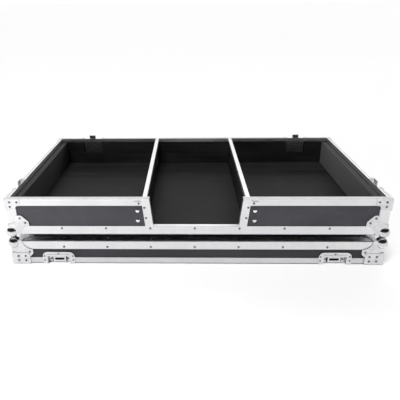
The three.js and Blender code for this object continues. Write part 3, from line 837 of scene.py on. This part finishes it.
def bail_points(depth, bottom, top, steps=8):
    """The middle line of a bail: down one arm, round two bends and up the other arm."""
    points = [Vector((depth, -bail_arm, top)), Vector((depth, -bail_arm, bottom + bend))]
    for k in range(1, steps + 1):
        turn = math.pi / 2 * k / steps
        inward, rise = bend * (1 - math.cos(turn)), bend * (1 - math.sin(turn))
        points.append(Vector((depth, inward - bail_arm, bottom + rise)))
    return points + [Vector((depth, -point.y, point.z)) for point in reversed(points)]


def pins_mesh():
    """The two pins, out from the ends of a bail's arms, about the swing's axis."""
    pins = bmesh.new()
    for sign in (-1, 1):
        ends = [Vector((0, sign * pin_start, 0)), Vector((0, sign * pin_end, 0))]
        pins.from_mesh(mesh_from(tube(ends, crosswise, pin_radius, pin_sides), "pin"))
    return pins


def grip_mesh():
    """A ribbed sleeve about Z."""
    steps = grip_ribs * rib_steps
    profile = [(0, -grip_half)]
    for k in range(steps + 1):
        dip = 0.5 - 0.5 * math.cos(math.tau * k / rib_steps)
        profile.append((grip_radius - rib_depth * dip, -grip_half + 2 * grip_half * k / steps))
    profile.append((0, grip_half))
    return lathe(profile, grip_sides)


def bail(side, sx):
    """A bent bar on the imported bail's place, its pins, and the grip on its straight run."""
    node = "handle_bail_" + side
    low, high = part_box(node)
    depth = sx * (half_width - bail_setback)
    bottom = low.z + bail_reach
    points = bail_points(depth, bottom, high.z - bail_headroom)
    bar = mesh_from(tube(points, crosswise, bail_radius, bar_sides), "bail")
    bar = add_object(node + "_bar", bar, [plated], node)
    soften(bar, bail_softness, 2, bail_round_angle)
    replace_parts(bar, node)

    pins = pins_mesh()
    bmesh.ops.translate(pins, vec=(depth, 0, high.z - pin_drop), verts=pins.verts)
    pins = add_object(node + "_pins", mesh_from(pins, "pins"), [plated], node)
    shade(pins.data)

    grip = grip_mesh()
    lying = Matrix.Rotation(math.pi / 2, 4, "X")
    bmesh.ops.transform(grip, matrix=Matrix.Translation((depth, 0, bottom)) @ lying, verts=grip.verts)
    grip = add_object(node + "_grip", mesh_from(grip, "grip"), [grip_black], node)
    shade(grip.data, grip_smooth_angle)


for side, sx in (("left", -1), ("right", 1)):
    dish("handle_dish_" + side, side, handle_dish_softness)
    bail(side, sx)


# Foam strips, their cut edges soft and their faces a little uneven

def foam_strip(node):
    obj = add_object(node + "_soft", clean_copy(node), [soft_black], body_of_node(node))
    soften(obj, foam_softness, 4)
    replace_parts(obj, node)


for side in ("left", "right"):
    foam_strip("deck_bay_foam_" + side)


# Fasteners, turned once for each kind and set on their places

head_seat = 0.4 * MM
head_rim_share = 0.12
hole_rim_share = 1.15
hole_floor_share = 0.85
head_smooth_angle = math.radians(50)


def head(radius, height, hole=0.0, sink=0.0, steps=6):
    """A domed head about Z, with or without a hole, whose faces take the second finish, the painted shade of
    the hole.
    """
    profile = [(0, -head_seat), (radius, -head_seat), (radius, head_rim_share * height)]
    for k in range(1, steps):
        turn = math.pi / 2 * k / steps
        reach = radius * math.cos(turn)
        if reach > hole * hole_rim_share:
            rise = head_rim_share + (1 - head_rim_share) * math.sin(turn)
            profile.append((reach, height * rise))
    if hole:
        profile += [(hole, height), (hole * hole_floor_share, height - sink), (0, height - sink)]
    else:
        profile.append((0, height))
    mesh = mesh_from(lathe(profile), "head")
    for face in mesh.polygons:
        middle = face.center
        face.material_index = int(middle.z > 0 and math.hypot(middle.x, middle.y) < hole)
    return shade(mesh, head_smooth_angle)


def fasteners(name, body, form, places, finishes):
    """All fasteners of one kind on a body as one object, each turned its own way."""
    bm = bmesh.new()
    for place, facing in places:
        turn = facing.to_track_quat("Z", "Y").to_matrix().to_4x4()
        spin = Matrix.Rotation(random.uniform(0, math.tau), 4, "Z")
        copy = form.copy()
        copy.transform(Matrix.Translation(place) @ turn @ spin)
        bm.from_mesh(copy)
        bpy.data.meshes.remove(copy)
    add_object(name, mesh_from(bm, name), finishes, body)


random.seed(7)
rivet = head(radius=3.5 * MM, height=1.5 * MM, hole=1.6 * MM, sink=0.9 * MM)
small_rivet = head(radius=2.7 * MM, height=1.2 * MM, hole=1.0 * MM, sink=0.7 * MM)
screw = head(radius=3.7 * MM, height=1.4 * MM, hole=1.8 * MM, sink=1.1 * MM)
cap_nut = head(radius=6.2 * MM, height=3.6 * MM, steps=10)


# Rivets along the angles and through the plates and braces

rivet_pitch = 128 * MM
row_shift = -3.5 * MM
edge_row = [k * rivet_pitch + row_shift for k in range(-3, 4)]
side_row = [k * rivet_pitch for k in (-1.5, -0.5, 0.5, 1.5)]
row_of = {"front": edge_row, "back": edge_row, "left": side_row, "right": side_row}
flange_setback = 18.7 * MM
leg_height = 20 * MM
plate_spots = [(51.5 * MM, 38 * MM), (37.5 * MM, 53 * MM)]
lid_plate_spot = [(52 * MM, 36 * MM)]
base_brace_spots = [(15 * MM, 10.8 * MM), (35.5 * MM, 10.8 * MM), (14.5 * MM, 25 * MM)]
lid_brace_spots = [(17 * MM, 26.8 * MM), (38 * MM, 26.8 * MM), (17 * MM, 12 * MM), (38 * MM, 12 * MM)]
trim_spots = [(161.3 * MM, 14.6 * MM), (146 * MM, 27.6 * MM), (142 * MM, 60.2 * MM)]


def flange_places(height, up):
    """Rivets through the flanges that lie on a half's closed side."""
    found = []
    for sign in (-1, 1):
        for x in edge_row:
            found.append((Vector((x, sign * (half_depth - flange_setback), height)), Vector((0, 0, up))))
        for y in side_row:
            found.append((Vector((sign * (half_width - flange_setback), y, height)), Vector((0, 0, up))))
    return found


def leg_places(height):
    """Rivets through the angles' legs on the four sides."""
    return [on_side(side, along, height, 0) for side, row in row_of.items() for along in row]


def corner_places(spots, out, height_of):
    """Places near the corners of the four sides, from distances in from the side edge and a depth."""
    found = []
    for side in SIDES:
        for inward, depth in spots:
            for sign in (-1, 1):
                found.append(on_side(side, sign * (half_length_of[side] - inward), height_of(depth), out))
    return found


def plate_face_places(height, up):
    """Rivets through the plates that lie on a half's closed side."""
    return [(Vector((sx * (half_width - a), sy * (half_depth - b), height + up * skin)), Vector((0, 0, up)))
            for sx, sy in CORNERS.values() for a, b in plate_spots]


base_rivets = flange_places(base_bottom, -1) + leg_places(base_bottom + leg_height)
base_rivets += corner_places(plate_spots, skin, lambda depth: base_bottom + depth)
base_rivets += corner_places(base_brace_spots, skin, lambda depth: base_top - depth)
base_rivets += plate_face_places(base_bottom, -1)
base_rivets += [on_side("front", sign * along, base_top - depth, skin)
                for along, depth in trim_spots for sign in (-1, 1)]
lid_rivets = flange_places(lid_top, 1) + leg_places(lid_top - leg_height)
lid_rivets += corner_places(lid_plate_spot, skin, lambda depth: lid_top - depth)
lid_rivets += corner_places(lid_brace_spots, 2 * skin, lambda height: height)
lid_rivets += plate_face_places(lid_top, 1)


# Rivets and screws on the dishes, and the dome bolts beside the opening

keeper_spots = [(0, 34.2 * MM), (42.5 * MM, 26 * MM), (-42.5 * MM, 26 * MM), (42.5 * MM, 12.5 * MM),
                (-42.5 * MM, 12.5 * MM)]
screw_spots = [(24.5 * MM, 11.5 * MM), (-24.5 * MM, 11.5 * MM)]
dish_spots = [(40 * MM, 13 * MM), (-40 * MM, 13 * MM), (40 * MM, 40 * MM), (-40 * MM, 40 * MM),
              (0, 62.2 * MM)]
handle_along = 64 * MM
handle_rise = 21 * MM
handle_spots = [(u, v) for u in (-handle_along, handle_along) for v in (-handle_rise, handle_rise)]
bolt_spots = [(166 * MM, 38.8 * MM), (166 * MM, 69.2 * MM)]


def seat_places(node, side, spots, out, height_of):
    """Places on a dish, from distances along it and a depth or height."""
    centre = middle_of(node).dot(turned(side, (1, 0, 0)))
    return [on_side(side, centre + u, height_of(v), out) for u, v in spots]


screws = []
lid_small = []
base_small = []
for seat, side in keepers.items():
    lid_small += seat_places("latch_keeper_" + seat, side, keeper_spots, skin, lambda height: height)
    screws += seat_places("latch_keeper_" + seat, side, screw_spots, -pan_depth, lambda height: height)
for seat, side in latches.items():
    base_small += seat_places("latch_dish_" + seat, side, dish_spots, skin, lambda depth: base_top - depth)
for side in ("left", "right"):
    middle = middle_of("handle_dish_" + side).z
    base_small += [on_side(side, u, middle + v, 0) for u, v in handle_spots]
bolts = [on_side("front", sign * along, base_top - depth, -skin)
         for along, depth in bolt_spots for sign in (-1, 1)]

# Heads in the dark zinc and holes in near-black: painted shade
riveted = [fastener_and_pan_shade, hole_shade]
fasteners("base_rivets", "base", rivet, base_rivets, riveted)
fasteners("lid_rivets", "lid", rivet, lid_rivets, riveted)
fasteners("base_dish_rivets", "base", small_rivet, base_small, riveted)
fasteners("lid_dish_rivets", "lid", small_rivet, lid_small, riveted)
fasteners("lid_keeper_screws", "lid", screw, screws, riveted)
fasteners("opening_bolts", "base", cap_nut, bolts, [polished])


# Floor, light and camera

def stage():
    """A pale floor with no edge in sight."""
    reach = 400
    thickness = 0.02
    finish = Finish("floor", Roughness=0.6, Specular_IOR_Level=0.1)
    cloud = finish.noise(finish.place(), scale=0.7, detail=2.0)
    tone = finish.blend(cloud, grey(0.93, 0), grey(0.95, 0))
    mesh = mesh_from(box_mesh((-reach, -reach, -thickness), (reach, reach, 0)), "floor")
    mesh.materials.append(finish.feed(Base_Color=tone))
    new_object("floor", mesh)


def world_light():
    """A room that is white low down and up behind the case, and dark overhead and above the camera."""
    dark_way = (0, -0.72, 0.69)
    world = bpy.data.worlds.new("studio")
    bpy.context.scene.world = world
    studio = Shading(world)
    place = studio.place("Generated")
    toward = studio.node("ShaderNodeVectorMath", {0: place, 1: dark_way}, operation="DOT_PRODUCT")
    height = studio.node("ShaderNodeSeparateXYZ", {0: place})
    share = studio.math("MULTIPLY", studio.remap(toward.outputs["Value"], (-0.05, 0.05)),
                        studio.remap(height.outputs["Z"], (0.06, 0.18)))
    background = studio.tree.nodes["Background"]
    studio.tree.links.new(studio.remap(share, (0.0, 1.0), to=(1.1, 0.02)), background.inputs["Strength"])
    background.inputs["Color"].default_value = (1, 1, 1, 1)


def soft_light(name, place, aim, size, power, in_gloss, in_shade=True):
    """A soft panel of light, which can be left out of the gloss or out of the shading of what it lights."""
    light = bpy.data.lights.new(name, "AREA")
    light.shape = "RECTANGLE"
    light.size, light.size_y = size
    light.energy = power
    obj = new_object(name, light)
    obj.location = place
    obj.rotation_euler = (Vector(aim) - Vector(place)).to_track_quat("-Z", "Y").to_euler()
    obj.visible_glossy = in_gloss
    obj.visible_diffuse = in_shade
    obj.visible_camera = False


def sun(direction, strength, spread):
    """An even light from a direction, which lights the floor and leaves no glare on the metal."""
    light = bpy.data.lights.new("sun", "SUN")
    light.energy = strength
    light.angle = math.radians(spread)
    obj = new_object("sun", light)
    obj.rotation_euler = Vector(direction).to_track_quat("Z", "Y").to_euler()
    obj.visible_glossy = False


def camera():
    """The photograph's camera, as fitted to the case's corners and rivets."""
    turn = math.radians(1.7)
    dip = math.radians(22.25)
    roll = math.radians(-0.73)
    data = bpy.data.cameras.new("camera")
    data.sensor_width = 36
    data.lens = 39.78
    data.shift_x = 0.0618
    data.shift_y = -0.0453
    data.clip_end = 200
    obj = new_object("camera", data)
    obj.location = (-0.0243, -1.4219, 0.7228)
    aim = Matrix.Rotation(turn, 3, "Z") @ Matrix.Rotation(math.pi / 2 - dip, 3, "X")
    obj.rotation_euler = (aim @ Matrix.Rotation(roll, 3, "Z")).to_euler()
    bpy.context.scene.camera = obj


stage()
world_light()
sun(direction=(-0.15, -0.35, 0.92), strength=2.9, spread=25)
soft_light("front_left", place=(-1.6, -1.5, 0.5), aim=(-0.45, -0.3, 0.15), size=(1.2, 0.6), power=25,
           in_gloss=False)
soft_light("ceiling", place=(0, 2.4, 2.6), aim=(0, 2.4, 0), size=(7, 6.4), power=80,
           in_gloss=True, in_shade=False)
camera()
bpy.context.scene.view_settings.view_transform = "Standard"
